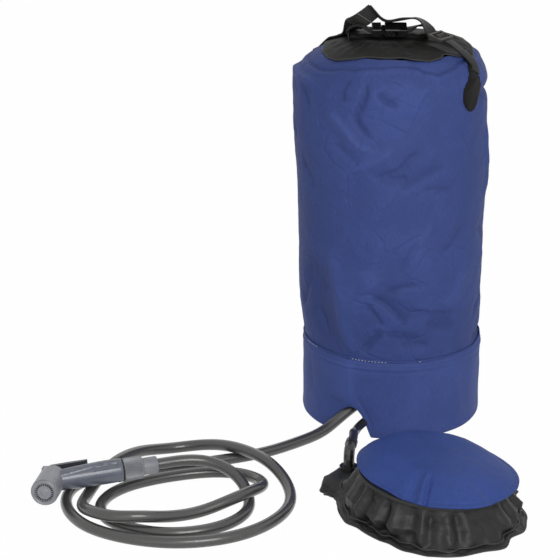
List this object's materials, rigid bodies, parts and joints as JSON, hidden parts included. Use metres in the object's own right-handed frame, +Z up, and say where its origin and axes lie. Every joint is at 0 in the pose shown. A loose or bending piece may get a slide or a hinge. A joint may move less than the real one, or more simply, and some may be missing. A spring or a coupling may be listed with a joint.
{
  "type": "camp shower bag",
  "caption": "Upright blue fabric water tank with a rolled black mouth and carry strap, a disc-shaped foot pump that puts it under pressure, and a looped hose to a hand-held spray head.",
  "frame": {"origin": "on the floor, at the middle of the footprint that the bag, the pump and the handset have together, hoses left out", "axes": "+Z up; +X to the right as one faces the bag's front, from the handset towards the bag and the pump; +Y from the pump back to the bag"},
  "size_m": [0.5202, 0.4922, 0.4851],
  "materials": {
    "blue_fabric": "coated weave, dull",
    "black_fabric": "coated weave, dull",
    "black_webbing": "woven, dull",
    "black_plastic": "fine grain",
    "dark_plastic": "fine grain",
    "blue_gray_plastic": "satin",
    "gray_plastic": "satin",
    "light_gray_plastic": "satin",
    "seal_rubber": "dull",
    "hose_gray": "satin",
    "hose_black": "satin",
    "steel": "drawn wire"
  },
  "bodies": {
    "bag": {"air_hose": "hose_black", "anchor_patch_left": "black_fabric", "anchor_patch_right": "black_fabric", "base_skirt": "blue_fabric", "bezel": "light_gray_plastic", "bottom_panel": "black_fabric", "buckle_plug": "black_plastic", "buckle_socket": "black_plastic", "carry_strap": "black_webbing", "closing_web_left": "black_webbing", "closing_web_right": "black_webbing", "closure_roll": "black_fabric", "collar": "black_fabric", "handle_shell": "blue_gray_plastic", "head_cap": "light_gray_plastic", "head_shell": "light_gray_plastic", "hose_tail": "gray_plastic", "inlet_elbow": "black_plastic", "inlet_ferrule": "black_plastic", "inlet_gasket": "seal_rubber", "inlet_nut": "black_plastic", "lever_pin": "steel", "lower_strap": "black_webbing", "nut_washer": "seal_rubber", "outlet_elbow": "black_plastic", "outlet_ferrule": "black_plastic", "outlet_gasket": "seal_rubber", "outlet_nut": "black_plastic", "plunger_seal": "seal_rubber", "port_elbow": "black_plastic", "port_ferrule": "black_plastic", "port_gasket": "seal_rubber", "pump_base": "black_plastic", "pump_bellows": "black_fabric", "pump_spring": "steel", "seam_welt": "blue_fabric", "spray_plate": "light_gray_plastic", "strap_slider": "black_plastic", "tank_wall": "blue_fabric", "water_hose": "hose_gray"},
    "tread": {"pump_top_plate": "black_plastic", "tread_cover": "blue_fabric"},
    "lever": {"trigger_lever": "dark_plastic"},
    "valve": {"valve_plunger": "dark_plastic"},
    "nut": {"hose_nut": "gray_plastic"},
    "latch_front": {"buckle_prong_front": "black_plastic"},
    "latch_rear": {"buckle_prong_rear": "black_plastic"}
  },
  "joints": [
    {"name": "tread_press", "type": "slide", "parent": "bag", "child": "tread", "axis": [0, 0, -1], "range_m": [0, 0.02], "stiffness_N_per_m": 1500, "springref_m": -0.01, "deforming": ["pump_bellows", "pump_spring"]},
    {"name": "lever_squeeze", "type": "hinge", "parent": "bag", "child": "lever", "pos_m": [-0.24939, -0.11754, 0.02631], "axis": [0.0468, -0.058, -0.9972], "range_deg": [0, 6], "stiffness_Nm_per_rad": 0.5, "springref_deg": -5.73},
    {"name": "valve_push", "type": "slide", "parent": "bag", "child": "valve", "axis": [-0.1223, -0.9911, 0.0519], "range_m": [0, 0.001]},
    {"name": "nut_turn", "type": "hinge", "parent": "bag", "child": "nut", "pos_m": [-0.1567, -0.10723, 0.03006], "axis": [0.9486, 0.3155, 0.0262], "continuous": true},
    {"name": "prong_front", "type": "hinge", "parent": "bag", "child": "latch_front", "pos_m": [0.11274, 0.11233, 0.45611], "axis": [0, -0.2419, 0.9703], "range_deg": [0, 7], "stiffness_Nm_per_rad": 0.05, "springref_deg": -2.86},
    {"name": "prong_rear", "type": "hinge", "parent": "bag", "child": "latch_rear", "pos_m": [0.11274, 0.12382, 0.45897], "axis": [0, 0.2419, -0.9703], "range_deg": [0, 7], "stiffness_Nm_per_rad": 0.05, "springref_deg": -2.86}
  ],
  "couplings": [
    {"joint": "valve_push", "follows": "lever_squeeze", "m_per_rad": 0.0087}
  ]
}
